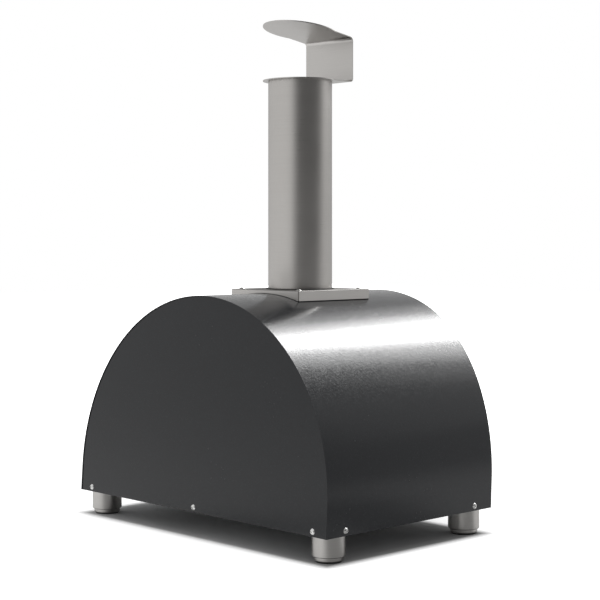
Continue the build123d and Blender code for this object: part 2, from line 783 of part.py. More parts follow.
# Feet: a turned sleeve under each corner, a levelling glide in it, a rubber pad under that
for name, (foot_at_x, foot_at_y) in foot_places.items():
    with BuildPart() as foot:
        with BuildSketch(Plane.XY.offset(foot_bottom)):
            with Locations((foot_at_x, foot_at_y)):
                Circle(foot_radius)
        extrude(amount=ground_gap - foot_bottom)
        chamfer(foot.edges().filter_by(GeomType.CIRCLE).sort_by(Axis.Z)[0], length=foot_bevel)
        with BuildSketch(Plane.XY.offset(foot_bottom)):
            with Locations((foot_at_x, foot_at_y)):
                Circle(stem_radius + stem_fit)
        extrude(amount=ground_gap - foot_cap - foot_bottom, mode=Mode.SUBTRACT)
        with BuildSketch(Plane.XY.offset(ground_gap)):
            with Locations((foot_at_x, foot_at_y)):
                Circle(foot_bolt_radius + foot_bolt_gap)
        extrude(amount=-foot_cap, mode=Mode.SUBTRACT)
    foot.part.label = "foot_" + name
    export_step(foot.part, "parts/foot_" + name + ".step")

    with BuildPart() as glide:
        with BuildSketch(Plane.XY.offset(pad_thickness)):
            with Locations((foot_at_x, foot_at_y)):
                Circle(glide_radius)
        extrude(amount=glide_height - pad_thickness)
        chamfer(glide.edges().filter_by(GeomType.CIRCLE).sort_by(Axis.Z)[0], length=glide_bevel)
        with BuildSketch(Plane.XY.offset(glide_height)):
            with Locations((foot_at_x, foot_at_y)):
                Circle(stem_radius)
        extrude(amount=stem_top - glide_height)
    glide.part.label = "glide_" + name
    export_step(glide.part, "parts/glide_" + name + ".step")

    with BuildPart() as pad:
        with BuildSketch(Plane.XY):
            with Locations((foot_at_x, foot_at_y)):
                Circle(pad_radius)
        extrude(amount=pad_thickness)
    pad.part.label = "pad_" + name
    export_step(pad.part, "parts/pad_" + name + ".step")

with BuildPart() as foot_bolts:
    with BuildSketch(Plane.XY.offset(tray_top)):
        with Locations(*foot_places.values()):
            RegularPolygon(foot_bolt_head, 6)
    extrude(amount=foot_bolt_head_height)
    with BuildSketch(Plane.XY.offset(tray_top)):
        with Locations(*foot_places.values()):
            Circle(foot_bolt_radius)
    extrude(amount=-foot_bolt_length)
foot_bolts.part.label = "foot_bolts"
export_step(foot_bolts.part, "parts/foot_bolts.step")

# Door: plate over the mouth with an insulated plug behind it and a bar grip in front
door_back = facade_y - liner_sheet - seam
door_front = door_back - door_sheet
with BuildPart() as door_panel:
    with BuildSketch(upright_plane(door_back)):
        add(mouth_face(door_overlap, floor_height + door_gap))
    extrude(amount=door_sheet)
door_panel.part.label = "door_panel"
export_step(door_panel.part, "parts/door_panel.step")

plug_shrink = seam + liner_sheet + door_play
with BuildPart() as door_liner:
    with BuildSketch(upright_plane(door_back + door_plug)):
        add(mouth_face(-plug_shrink, floor_height + door_play))
    extrude(amount=door_plug)
    with BuildSketch(upright_plane(door_back + door_plug - liner_sheet)):
        add(mouth_face(-plug_shrink - liner_sheet, floor_height + door_play + liner_sheet))
    extrude(amount=door_plug - liner_sheet, mode=Mode.SUBTRACT)
door_liner.part.label = "door_liner"
export_step(door_liner.part, "parts/door_liner.step")

with BuildPart() as door_core:
    with BuildSketch(upright_plane(door_back + door_plug - liner_sheet)):
        add(mouth_face(-plug_shrink - liner_sheet - seam, floor_height + door_play + liner_sheet + seam))
    extrude(amount=door_plug - liner_sheet - seam)
door_core.part.label = "door_core"
export_step(door_core.part, "parts/door_core.step")

grip_y = door_front - post_length
with BuildPart() as door_posts:
    with BuildSketch(upright_plane(door_front)):
        with Locations((-post_span / 2, grip_height), (post_span / 2, grip_height)):
            Circle(post_radius)
    extrude(amount=post_length)
    with BuildSketch(Plane.YZ.offset(-grip_length / 2)):
        with Locations((grip_y, grip_height)):
            Circle(grip_radius + seam)
    extrude(amount=grip_length, mode=Mode.SUBTRACT)
door_posts.part.label = "door_posts"
export_step(door_posts.part, "parts/door_posts.step")

with BuildPart() as door_grip:
    with BuildSketch(Plane.YZ.offset(-grip_length / 2)):
        with Locations((grip_y, grip_height)):
            Circle(grip_radius)
    extrude(amount=grip_length)
    chamfer(door_grip.edges().filter_by(GeomType.CIRCLE), length=grip_end_bevel)
door_grip.part.label = "door_grip"
export_step(door_grip.part, "parts/door_grip.step")

# Burner: slotted tube along the chamber, bent down through the deck to its open end
burner_bend_y = burner_y + burner_bend
port_pitch = (burner_end - burner_bend_y - 2 * port_end_gap) / (port_count - 1)
with BuildPart() as burner_tube:
    with BuildSketch(Plane.XY.offset(burner_foot)):
        with Locations((burner_x, burner_y)):
            Circle(burner_radius)
            Circle(burner_radius - burner_wall, mode=Mode.SUBTRACT)
    extrude(amount=burner_axis - burner_bend - burner_foot)
    with BuildSketch(Plane.XY.offset(burner_axis - burner_bend)):
        with Locations((burner_x, burner_y)):
            Circle(burner_radius)
            Circle(burner_radius - burner_wall, mode=Mode.SUBTRACT)
    revolve(axis=Axis((burner_x, burner_bend_y, burner_axis - burner_bend), (-1, 0, 0)), revolution_arc=90)
    with BuildSketch(upright_plane(burner_end)):
        with Locations((burner_x, burner_axis)):
            Circle(burner_radius)
    extrude(amount=burner_end - burner_bend_y)
    with BuildSketch(upright_plane(burner_end - burner_wall)):
        with Locations((burner_x, burner_axis)):
            Circle(burner_radius - burner_wall)
    extrude(amount=burner_end - burner_wall - burner_bend_y, mode=Mode.SUBTRACT)
    with BuildSketch(Plane.XY.offset(burner_axis)):
        with Locations((burner_x, (burner_bend_y + burner_end) / 2)):
            with GridLocations(port_length, port_pitch, 1, port_count):
                SlotOverall(port_length, port_width)
    extrude(amount=burner_radius + over, mode=Mode.SUBTRACT)
burner_tube.part.label = "burner_tube"
export_step(burner_tube.part, "parts/burner_tube.step")

# Burner brackets: upright plates on the deck, notched for the tube
with BuildPart() as burner_brackets:
    for bracket_y in (burner_bend_y + bracket_front, burner_end - bracket_rear):
        with BuildSketch(upright_plane(bracket_y)):
            with Locations((burner_x, (board_bottom + burner_axis) / 2)):
                Rectangle(bracket_width, burner_axis - board_bottom)
            with Locations((burner_x, burner_axis)):
                Circle(burner_radius + seam, mode=Mode.SUBTRACT)
        extrude(amount=bracket_sheet)
burner_brackets.part.label = "burner_brackets"
export_step(burner_brackets.part, "parts/burner_brackets.step")

# Flame guard: angle strip between the tiles and the burner, with a row of holes
guard_hole_pitch = (bed_length - 2 * guard_end_gap) / (guard_hole_count - 1)
with BuildPart() as flame_guard:
    with BuildSketch(upright_plane(tile_rear)):
        with BuildLine():
            Polyline(
                (guard_x, board_bottom),
                (guard_x, floor_height + guard_rise),
                (guard_x + guard_sheet, floor_height + guard_rise),
                (guard_x + guard_sheet, board_bottom + guard_sheet),
                (guard_x + guard_foot, board_bottom + guard_sheet),
                (guard_x + guard_foot, board_bottom),
                close=True,
            )
        make_face()
    extrude(amount=bed_length)
    with BuildSketch(Plane.YZ.offset(guard_x)):
        with Locations((bed_y, floor_height + guard_rise / 2)):
            with GridLocations(guard_hole_pitch, guard_rise, guard_hole_count, 1):
                Circle(guard_hole_radius)
    extrude(amount=guard_sheet, mode=Mode.SUBTRACT)
    for opening_y in (burner_y + probe_setback, burner_y + electrode_setback):
        with BuildSketch(Plane.XY.offset(board_bottom)):
            with Locations((probe_x, opening_y)):
                Circle(fitting_radius + 2 * seam)
        extrude(amount=guard_sheet, mode=Mode.SUBTRACT)
flame_guard.part.label = "flame_guard"
export_step(flame_guard.part, "parts/flame_guard.step")

# Flame probe and spark electrode: rods beside the burner, each with a collar on the deck
with BuildPart() as flame_probe:
    with BuildSketch(Plane.XY.offset(deck_bottom - fitting_tail)):
        with Locations((probe_x, burner_y + probe_setback)):
            Circle(probe_radius)
    extrude(amount=floor_height + probe_rise - deck_bottom + fitting_tail)
    with BuildSketch(Plane.XY.offset(board_bottom)):
        with Locations((probe_x, burner_y + probe_setback)):
            Circle(fitting_radius)
    extrude(amount=fitting_height)
flame_probe.part.label = "flame_probe"
export_step(flame_probe.part, "parts/flame_probe.step")

with BuildPart() as spark_electrode:
    with BuildSketch(Plane.XY.offset(deck_bottom - fitting_tail)):
        with Locations((probe_x, burner_y + electrode_setback)):
            Circle(electrode_radius)
    extrude(amount=floor_height - deck_bottom + fitting_tail)
    with BuildSketch(Plane.XY.offset(floor_height)):
        with Locations((probe_x, burner_y + electrode_setback)):
            Circle(electrode_wire)
    extrude(amount=probe_rise)
    with BuildSketch(Plane.XY.offset(board_bottom)):
        with Locations((probe_x, burner_y + electrode_setback)):
            Circle(fitting_radius)
    extrude(amount=fitting_height)
spark_electrode.part.label = "spark_electrode"
export_step(spark_electrode.part, "parts/spark_electrode.step")

# Gas valve: block behind the facade, its nose through it, bored for spindle and plunger
bezel_front = facade_y - bezel_sheet
plunger_end = spindle_end + plunger_length
with BuildPart() as gas_valve:
    with BuildSketch(upright_plane(valve_rear)):
        with Locations((burner_x, valve_axis)):
            RectangleRounded(valve_width, valve_height, valve_round)
    extrude(amount=valve_length)
    with BuildSketch(upright_plane(valve_front)):
        with Locations((burner_x, valve_axis)):
            Circle(valve_nose_radius)
    extrude(amount=valve_front - bezel_front)
    with BuildSketch(upright_plane(spindle_end)):
        with Locations((burner_x, valve_axis)):
            Circle(spindle_radius + spindle_fit)
    extrude(amount=spindle_end - bezel_front, mode=Mode.SUBTRACT)
    with BuildSketch(upright_plane(plunger_end + push_travel + seam)):
        with Locations((burner_x, valve_axis)):
            Circle(plunger_radius + spindle_fit)
    extrude(amount=plunger_length + push_travel + seam, mode=Mode.SUBTRACT)
gas_valve.part.label = "gas_valve"
export_step(gas_valve.part, "parts/gas_valve.step")

with BuildPart() as valve_plunger:
    with BuildSketch(upright_plane(plunger_end)):
        with Locations((burner_x, valve_axis)):
            Circle(plunger_radius)
    extrude(amount=plunger_length)
valve_plunger.part.label = "valve_plunger"
export_step(valve_plunger.part, "parts/valve_plunger.step")

with BuildPart() as valve_spindle:
    with BuildSketch(upright_plane(spindle_end)):
        with Locations((burner_x, valve_axis)):
            Circle(spindle_radius)
    extrude(amount=spindle_end - knob_y + knob_bore)
valve_spindle.part.label = "valve_spindle"
export_step(valve_spindle.part, "parts/valve_spindle.step")

# Control knob: round skirt with an upright grip bar, bored for the spindle
with BuildPart() as control_knob:
    with BuildSketch(upright_plane(knob_y)):
        with Locations((burner_x, valve_axis)):
            Circle(knob_radius)
    extrude(amount=knob_skirt)
    with BuildSketch(upright_plane(knob_y)):
        with Locations((burner_x, valve_axis)):
            SlotOverall(2 * (knob_radius - knob_bevel), knob_grip_width, rotation=90)
    extrude(amount=knob_depth)
    chamfer(control_knob.faces().sort_by(Axis.Y)[0].edges(), length=knob_bevel)
    with BuildSketch(upright_plane(knob_y)):
        with Locations((burner_x, valve_axis)):
            Circle(spindle_radius + spindle_fit)
    extrude(amount=knob_bore, mode=Mode.SUBTRACT)
control_knob.part.label = "control_knob"
export_step(control_knob.part, "parts/control_knob.step")

with BuildPart() as knob_bezel:
    with BuildSketch(upright_plane(facade_y)):
        with Locations((burner_x, valve_axis)):
            Circle(bezel_radius)
            Circle(valve_nose_radius + seam, mode=Mode.SUBTRACT)
    extrude(amount=bezel_sheet)
knob_bezel.part.label = "knob_bezel"
export_step(knob_bezel.part, "parts/knob_bezel.step")

# Gas way: inlet fitting through the tray, pipe to the valve, elbow and nozzle under the burner
with BuildPart() as inlet_fitting:
    with BuildSketch(Plane.XY.offset(tray_top)):
        with Locations((inlet_x, inlet_y)):
            RegularPolygon(inlet_hex, 6)
    extrude(amount=valve_axis + pipe_line_radius + pipe_line_bore - tray_top)
    with BuildSketch(Plane.XY.offset(tray_top)):
        with Locations((inlet_x, inlet_y)):
            Circle(inlet_radius)
    extrude(amount=-tray_sheet - inlet_reach)
    with BuildSketch(Plane.XY.offset(ground_gap - inlet_reach)):
        with Locations((inlet_x, inlet_y)):
            Circle(pipe_line_bore)
    extrude(amount=valve_axis - ground_gap + inlet_reach, mode=Mode.SUBTRACT)
inlet_fitting.part.label = "inlet_fitting"
export_step(inlet_fitting.part, "parts/inlet_fitting.step")

pipe_line_end_y = (valve_front + valve_rear) / 2
pipe_line_start_y = inlet_y - inlet_hex
pipe_turn_x = inlet_x + pipe_line_bend
pipe_turn_y = pipe_line_end_y + pipe_line_bend
with BuildPart() as gas_pipe:
    with BuildSketch(upright_plane(pipe_line_start_y)):
        with Locations((inlet_x, valve_axis)):
            Circle(pipe_line_radius)
            Circle(pipe_line_bore, mode=Mode.SUBTRACT)
    extrude(amount=pipe_line_start_y - pipe_turn_y)
    with BuildSketch(upright_plane(pipe_turn_y)):
        with Locations((inlet_x, valve_axis)):
            Circle(pipe_line_radius)
            Circle(pipe_line_bore, mode=Mode.SUBTRACT)
    revolve(axis=Axis((pipe_turn_x, pipe_turn_y, valve_axis), (0, 0, 1)), revolution_arc=90)
    with BuildSketch(Plane.YZ.offset(pipe_turn_x)):
        with Locations((pipe_line_end_y, valve_axis)):
            Circle(pipe_line_radius)
            Circle(pipe_line_bore, mode=Mode.SUBTRACT)
    extrude(amount=burner_x - valve_width / 2 - pipe_turn_x)
gas_pipe.part.label = "gas_pipe"
export_step(gas_pipe.part, "parts/gas_pipe.step")

with BuildPart() as gas_nozzle:
    with BuildSketch(upright_plane(burner_y + nozzle_radius)):
        with Locations((burner_x, nozzle_axis)):
            Circle(nozzle_radius)
    extrude(amount=burner_y + nozzle_radius - valve_rear)
    with BuildSketch(Plane.XY.offset(nozzle_axis)):
        with Locations((burner_x, burner_y)):
            Circle(nozzle_radius)
    extrude(amount=nozzle_radius)
    with BuildSketch(Plane.XY.offset(nozzle_axis)):
        with Locations((burner_x, burner_y)):
            Circle(nozzle_tip_radius)
    extrude(amount=burner_foot - nozzle_gap - nozzle_axis)
gas_nozzle.part.label = "gas_nozzle"
export_step(gas_nozzle.part, "parts/gas_nozzle.step")

# Screws, one node for each group of like ones
for name, planes, length in (
    ("rear_screws", rear_screw_planes, screw_length),
    ("side_screws", side_screw_planes, screw_length),
    ("facade_screws", facade_screw_planes, screw_length),
    ("plate_screws", plate_screw_planes, plate_screw_length),
):
    screws = screw_group(planes, length)
    screws.label = name
    export_step(screws, "parts/" + name + ".step")
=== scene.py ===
from math import asin, cos, pi, radians, sin

import bpy
from mathutils import Matrix, Vector


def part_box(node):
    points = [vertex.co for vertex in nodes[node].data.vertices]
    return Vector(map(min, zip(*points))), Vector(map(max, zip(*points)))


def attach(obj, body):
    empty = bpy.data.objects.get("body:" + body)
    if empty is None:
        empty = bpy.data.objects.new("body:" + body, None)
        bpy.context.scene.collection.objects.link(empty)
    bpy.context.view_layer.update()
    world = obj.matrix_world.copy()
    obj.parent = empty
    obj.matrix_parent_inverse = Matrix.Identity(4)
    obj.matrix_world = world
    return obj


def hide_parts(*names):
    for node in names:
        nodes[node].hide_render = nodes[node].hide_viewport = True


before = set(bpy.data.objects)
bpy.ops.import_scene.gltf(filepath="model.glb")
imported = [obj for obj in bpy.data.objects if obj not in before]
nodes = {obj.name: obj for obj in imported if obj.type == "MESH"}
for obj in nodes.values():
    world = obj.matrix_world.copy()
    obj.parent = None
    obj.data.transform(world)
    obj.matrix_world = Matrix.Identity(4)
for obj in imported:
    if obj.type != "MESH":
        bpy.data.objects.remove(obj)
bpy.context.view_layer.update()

# Camera of the photograph, found from the oven's own edges
camera_place = (-1.8261, 1.7279, 0.4752)
camera_heading = radians(226.25)  # about +Z, from looking along +Y
focal_pixels = 1495.76
horizon_pixel = 237.06
photo_side = 600
sensor_width = 36.0
camera_clip_end = 50.0

# Lights and levels of the studio
top_light_energy = 34.0
top_light_place = (0.1, -0.1, 2.6)
top_light_size = (2.6, 2.2)
top_light_target = (0.0, 0.0, 0.3)
rim_light_target = (-0.1, 0.0, 0.3)
rim_light_energies = (46.0, 50.0, 24.0)  # core, its soft edge, the fall-off round both
rim_light_azimuths = (radians(-85.0), radians(-87.5), radians(-89.0))
rim_light_height = radians(42.3)
rim_light_distance = 3.0
rim_light_sizes = ((0.60, 1.3), (1.5, 1.8), (2.5, 2.6))
glow_light_energy = 1.6  # beside the strips
glow_light_azimuth = radians(-120.0)
glow_light_height = radians(25.0)
glow_light_size = (1.6, 1.3)
horizon_level = 0.22
zenith_level = 0.60
level_heights = (-0.05, 0.95)  # sines of elevation for the two levels
gloss_low = 0.70
gloss_high = 1.0
gloss_stop = 0.75
bright_side = (0.69, 0.72, 0.0)  # to the left in the picture
dark_level = 0.19
dark_side = (-0.979, 0.204, 0.0)
dark_stops = (0.40, 0.86)
# Painted shade seen only in mirror images: the floor darker away from the feet towards this side
floor_reflection_shade_side = (-0.906, 0.423, 0.0)
floor_reach = 9.0
floor_albedo = 0.94
# Painted shadow under the oven: the floor's colour darker there
floor_shadow_albedo = (0.42, 0.72)  # under the oven, at the right and at the left in the picture
floor_shadow_reach = (-0.08, 0.14)  # along bright_side, where one turns into the other
floor_shadow_edge = (-0.005, 0.016)  # from the base's edge, where the painted shadow ends
floor_top_up = 0.55
floor_gloss_gain = 0.95
floor_far = (0.3, 1.4)  # where the floor turns into the white background

mm = 0.001


def sized(low, high):
    """Middle and size of a box given by two corners."""
    return (low + high) / 2, high - low


# Small helpers for node trees
def tree_of(owner):
    owner.use_nodes = True
    return owner.node_tree


def add_node(tree, kind):
    return tree.nodes.new("ShaderNode" + kind)


def new_material(name, **values):
    """Material with one Principled shader, its sockets set by their names."""
    material = bpy.data.materials.new(name)
    tree = tree_of(material)
    shader = tree.nodes["Principled BSDF"]
    for key, value in values.items():
        socket = shader.inputs[key.replace("_", " ")]
        socket.default_value = (*value, 1.0) if isinstance(value, tuple) else value
    return material, tree, shader


def object_space(tree, scale=(1.0, 1.0, 1.0)):
    """Object coordinates in metres, multiplied by a scale for each axis."""
    coordinates = add_node(tree, "TexCoord")
    mapping = add_node(tree, "Mapping")
    mapping.inputs["Scale"].default_value = scale
    tree.links.new(coordinates.outputs["Object"], mapping.inputs["Vector"])
    return mapping.outputs["Vector"]


def noise(tree, vector, scale, detail=3.0, roughness=0.55):
    node = add_node(tree, "TexNoise")
    node.inputs["Scale"].default_value = scale
    node.inputs["Detail"].default_value = detail
    node.inputs["Roughness"].default_value = roughness
    tree.links.new(vector, node.inputs["Vector"])
    return node.outputs["Fac"]


def cell_value(tree, vector, scale):
    """One random value for each cell of a Voronoi pattern."""
    cells = add_node(tree, "TexVoronoi")
    cells.inputs["Scale"].default_value = scale
    tree.links.new(vector, cells.inputs["Vector"])
    split = add_node(tree, "SeparateColor")
    tree.links.new(cells.outputs["Color"], split.inputs["Color"])
    return split.outputs["Red"]


def ramp(tree, factor, stops, ease="LINEAR"):
    """Colour ramp; stops are (place, grey or colour)."""
    node = add_node(tree, "ValToRGB")
    node.color_ramp.interpolation = ease
    elements = node.color_ramp.elements
    while len(elements) < len(stops):
        elements.new(0.5)
    for element, (place, colour) in zip(elements, stops):
        element.position = place
        element.color = (*colour, 1.0) if isinstance(colour, tuple) else (colour, colour, colour, 1.0)
    tree.links.new(factor, node.inputs["Fac"])
    return node.outputs["Color"]


def spread(tree, factor, low, high, from_low=0.0, from_high=1.0):
    """Factor mapped from one range to another, held at its ends."""
    node = add_node(tree, "MapRange")
    node.inputs["From Min"].default_value = from_low
    node.inputs["From Max"].default_value = from_high
    node.inputs["To Min"].default_value = low
    node.inputs["To Max"].default_value = high
    tree.links.new(factor, node.inputs["Value"])
    return node.outputs["Result"]


def link_or_set(tree, socket, value):
    if isinstance(value, (int, float)):
        socket.default_value = value
    elif isinstance(value, tuple):
        socket.default_value = (*value, 1.0)
    else:
        tree.links.new(value, socket)


def calculate(tree, operation, first, second=None):
    node = add_node(tree, "Math")
    node.operation = operation
    link_or_set(tree, node.inputs[0], first)
    if second is not None:
        link_or_set(tree, node.inputs[1], second)
    return node.outputs["Value"]


def mix(tree, factor, first, second, kind="RGBA"):
    """First where the factor is 0, second where it is 1; colours or plain values."""
    node = add_node(tree, "Mix")
    node.data_type = kind
    tree.links.new(factor, node.inputs["Factor"])
    value_type = "RGBA" if kind == "RGBA" else "VALUE"
    sockets = [s for s in node.inputs if s.name in ("A", "B") and s.type == value_type]
    link_or_set(tree, sockets[0], first)
    link_or_set(tree, sockets[1], second)
    return [s for s in node.outputs if s.type == value_type][0]


def vector_math(tree, operation, first, second=None):
    """Vector, or for a dot product its value; constants are tuples."""
    node = add_node(tree, "VectorMath")
    node.operation = operation
    for socket, value in zip(node.inputs, (first, second)):
        if isinstance(value, tuple):
            socket.default_value = value
        elif value is not None:
            tree.links.new(value, socket)
    return node.outputs["Value" if operation == "DOT_PRODUCT" else "Vector"]


def split_vector(tree, vector):
    """X, Y and Z outputs of a vector."""
    node = add_node(tree, "SeparateXYZ")
    tree.links.new(vector, node.inputs["Vector"])
    return node.outputs


def source_of(tree, socket):
    """Output that feeds a socket, or None."""
    return next((link.from_socket for link in tree.links if link.to_socket == socket), None)


def bump(tree, shader, height, strength, distance):
    """Bump on the shader's normal; more than one can follow each other."""
    node = add_node(tree, "Bump")
    node.inputs["Strength"].default_value = strength
    node.inputs["Distance"].default_value = distance
    tree.links.new(height, node.inputs["Height"])
    before = source_of(tree, shader.inputs["Normal"])
    if before is not None:
        tree.links.new(before, node.inputs["Normal"])
    tree.links.new(node.outputs["Normal"], shader.inputs["Normal"])


def scaled(colour, factor):
    return tuple(min(1.0, factor * c) for c in colour)


# Powder coat: fine grains, sparse painted glint specks, slight waviness; scales are per metre
coat_grain_scale = 850.0
coat_peel_scale = 220.0
coat_cell_scale = 400.0
coat_patch_scale = 9.0
coat_glint_scale = 900.0
coat_glint_stop = 0.95  # share of the cells without a glint
coat_glint_step = 0.005
coat_tones = [(0.30, (0.0140, 0.0150, 0.0171)), (0.72, (0.0178, 0.0191, 0.0217))]
coat_painted_glint_tone = (0.0215, 0.0230, 0.0255)
coat_cell_roughness = (0.10, 0.27)
coat_patch_roughness = (-0.02, 0.02)  # added to that of the cells
coat_grain_bump = (0.17, 0.3 * mm)  # strength and depth
coat_peel_bump = (0.21, 0.5 * mm)


def powder_coat():
    material, tree, shader = new_material("anthracite_coat", Roughness=0.24, IOR=1.34)
    space = object_space(tree)
    grain = noise(tree, space, coat_grain_scale, detail=3.0, roughness=0.6)
    orange_peel = noise(tree, space, coat_peel_scale, detail=2.0, roughness=0.6)
    cells = cell_value(tree, space, coat_cell_scale)
    patches = noise(tree, space, coat_patch_scale, detail=2.0)
    # painted glint specks: a few cells a little lighter in the base colour
    glint_stops = [(0.0, 0.0), (coat_glint_stop, 0.0), (coat_glint_stop + coat_glint_step, 1.0)]
    painted_glints = ramp(tree, cell_value(tree, space, coat_glint_scale), glint_stops, ease="CONSTANT")
    tone = mix(tree, painted_glints, ramp(tree, grain, coat_tones), coat_painted_glint_tone)
    tree.links.new(tone, shader.inputs["Base Color"])
    rough = calculate(tree, "ADD", spread(tree, cells, *coat_cell_roughness),
                      spread(tree, patches, *coat_patch_roughness))
    tree.links.new(rough, shader.inputs["Roughness"])
    bump(tree, shader, grain, *coat_grain_bump)
    bump(tree, shader, orange_peel, *coat_peel_bump)
    return material


# Stainless sheet: streaks that are long along an axis where their scale is small
steel_smudge_scale = 14.0
steel_grain_scale = 1500.0
steel_tones = ((0.25, 0.93), (0.75, 1.06))  # places on the ramp, shares of the colour
steel_smudge_roughness = (-0.03, 0.03, 0.3, 0.7)  # added, low and high, between two levels
steel_streak_levels = (0.25, 0.75)
steel_bump_depth = 0.1 * mm
steel_grain_strength = 0.08
plate_specular_tint = (0.25, 0.25, 0.25, 1.0)
# Painted shadow line where the plate meets the vault, and painted shade on its bends
plate_shadow_width = 1.5 * mm
plate_shadow_start = 0.6  # share of the width
plate_shadow_tone = (0.02, 0.02, 0.02)
plate_shadow_least = 0.35  # on faces that don't look sideways
plate_bend_shade_tone = (0.05, 0.05, 0.05)
plate_bend_shade_share = 0.75


def brushed_steel(name, colour, streak_scale, roughness=(0.27, 0.38), strength=0.16):
    material, tree, shader = new_material(name, Metallic=1.0, Roughness=0.33,
                                          Specular_Tint=(0.80, 0.80, 0.80))
    space = object_space(tree)
    streaks = noise(tree, object_space(tree, streak_scale), 1.0, detail=5.0, roughness=0.65)
    smudges = noise(tree, space, steel_smudge_scale, detail=3.0)
    grain = noise(tree, space, steel_grain_scale, detail=2.0)
    tone = ramp(tree, streaks, [(place, scaled(colour, share)) for place, share in steel_tones])
    tree.links.new(tone, shader.inputs["Base Color"])
    rough = spread(tree, streaks, *roughness, *steel_streak_levels)
    rough = calculate(tree, "ADD", rough, spread(tree, smudges, *steel_smudge_roughness))
    tree.links.new(rough, shader.inputs["Roughness"])
    bump(tree, shader, streaks, strength, steel_bump_depth)
    bump(tree, shader, grain, steel_grain_strength, steel_bump_depth)
    return material


def plate_steel():
    """Brushed sheet with a weaker sheen, painted shade on its bends and a painted shadow line where it
    meets the vault.
    """
    material = brushed_steel("plate_steel", (0.47, 0.457, 0.442), (16.0, 2200.0, 2200.0),
                             roughness=(0.30, 0.42))
    shader = material.node_tree.nodes["Principled BSDF"]
    shader.inputs["Specular Tint"].default_value = plate_specular_tint
    painted_contact_shade(material.node_tree, shader, plate_shadow_width)
    return material


def painted_contact_shade(tree, shader, width):
    """Painted shade on a piece on the crown at its bends, and a painted shadow line where it meets the
    vault's round.
    """
    low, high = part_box("vault_cover")
    radius = (high.x - low.x) / 2
    place = split_vector(tree, object_space(tree))
    across = calculate(tree, "POWER", place["X"], 2.0)
    upward = calculate(tree, "POWER", calculate(tree, "SUBTRACT", place["Z"], high.z - radius), 2.0)
    distance = calculate(tree, "SQRT", calculate(tree, "ADD", across, upward))
    colour = source_of(tree, shader.inputs["Base Color"])
    normal = split_vector(tree, add_node(tree, "NewGeometry").outputs["Normal"])
    sideways = spread(tree, calculate(tree, "ABSOLUTE", normal["X"]), plate_shadow_least, 1.0)
    level = calculate(tree, "SUBTRACT", 1.0, calculate(tree, "POWER", normal["Z"], 2.0))
    level = calculate(tree, "SQRT", level)
    bend_shade = calculate(tree, "MULTIPLY", 2.0, calculate(tree, "MULTIPLY", normal["Z"], level))
    bend_shade = calculate(tree, "MAXIMUM", bend_shade, 0.0)
    # painted shade on the bends, strongest where the normal leans half way between up and sideways
    colour = mix(tree, spread(tree, bend_shade, 0.0, plate_bend_shade_share), colour, plate_bend_shade_tone)
    # painted shadow line along the vault's round, weaker on faces that don't look sideways
    edge = spread(tree, distance, 1.0, 0.0, radius + plate_shadow_start * width, radius + width)
    edge = calculate(tree, "MULTIPLY", edge, sideways)
    tree.links.new(mix(tree, edge, colour, plate_shadow_tone), shader.inputs["Base Color"])


# Stainless that has been hot: straw and blue tints in soft clouds over a fine grain
heat_cloud_scale = 11.0
heat_soot_scale = 38.0
heat_grain_scale = 1200.0
heat_tints = [(0.30, (0.50, 0.47, 0.43)), (0.48, (0.52, 0.41, 0.27)), (0.60, (0.40, 0.29, 0.30)),
              (0.72, (0.27, 0.30, 0.40))]
heat_soot_stops = [(0.52, 0.0), (0.78, 0.75)]
heat_soot_tone = (0.055, 0.05, 0.045)
heat_soot_roughness = (0.34, 0.62, 0.3, 0.75)
heat_grain_bump = (0.12, 0.1 * mm)


def heat_tinted_steel():
    material, tree, shader = new_material("chamber_steel", Metallic=1.0, Roughness=0.42)
    space = object_space(tree)
    clouds = noise(tree, space, heat_cloud_scale, detail=4.0)
    soot = noise(tree, space, heat_soot_scale, detail=5.0)
    tint = ramp(tree, clouds, heat_tints)
    tone = mix(tree, ramp(tree, soot, heat_soot_stops), tint, heat_soot_tone)
    tree.links.new(tone, shader.inputs["Base Color"])
    tree.links.new(spread(tree, soot, *heat_soot_roughness), shader.inputs["Roughness"])
    bump(tree, shader, noise(tree, space, heat_grain_scale, detail=2.0), *heat_grain_bump)
    return material


# Zinc-coated sheet: flat crystals of slightly different tone and gloss
zinc_crystal_scale = 95.0
zinc_small_scale = 260.0
zinc_grain_scale = 500.0
zinc_tones = [(0.0, (0.44, 0.45, 0.46)), (1.0, (0.55, 0.56, 0.57))]
zinc_small_stops = [(0.5, 0.0), (1.0, 0.30)]
zinc_small_tone = (0.60, 0.61, 0.62)
zinc_roughness = (0.36, 0.52)
zinc_grain_bump = (0.10, 0.1 * mm)


def zinc_coat():
    material, tree, shader = new_material("base_steel", Metallic=1.0, Roughness=0.45)
    space = object_space(tree)
    crystal = cell_value(tree, space, zinc_crystal_scale)
    small = cell_value(tree, space, zinc_small_scale)
    tone = ramp(tree, crystal, zinc_tones)
    tone = mix(tree, ramp(tree, small, zinc_small_stops), tone, zinc_small_tone)
    tree.links.new(tone, shader.inputs["Base Color"])
    tree.links.new(spread(tree, crystal, *zinc_roughness), shader.inputs["Roughness"])
    bump(tree, shader, noise(tree, space, zinc_grain_scale, detail=2.0), *zinc_grain_bump)
    return material


# Refractory tile: pale body, dark and rusty specks, pores and a few scorched patches
tile_body_scale = 22.0
tile_tones = [(0.3, (0.55, 0.46, 0.35)), (0.7, (0.68, 0.60, 0.48))]
tile_speck_scale = 420.0
tile_speck_stops = [(0.0, 0.0), (0.93, 1.0)]
tile_speck_tone = (0.25, 0.16, 0.10)
tile_scorch_scale = 7.0
tile_scorch_stops = [(0.50, 0.0), (0.74, 0.7)]
tile_scorch_tone = (0.16, 0.11, 0.08)
tile_grain_scale = 600.0
tile_grain_bump = (0.5, 0.3 * mm)
tile_pore_scale = 90.0
tile_pore_bump = (0.25, 0.5 * mm)


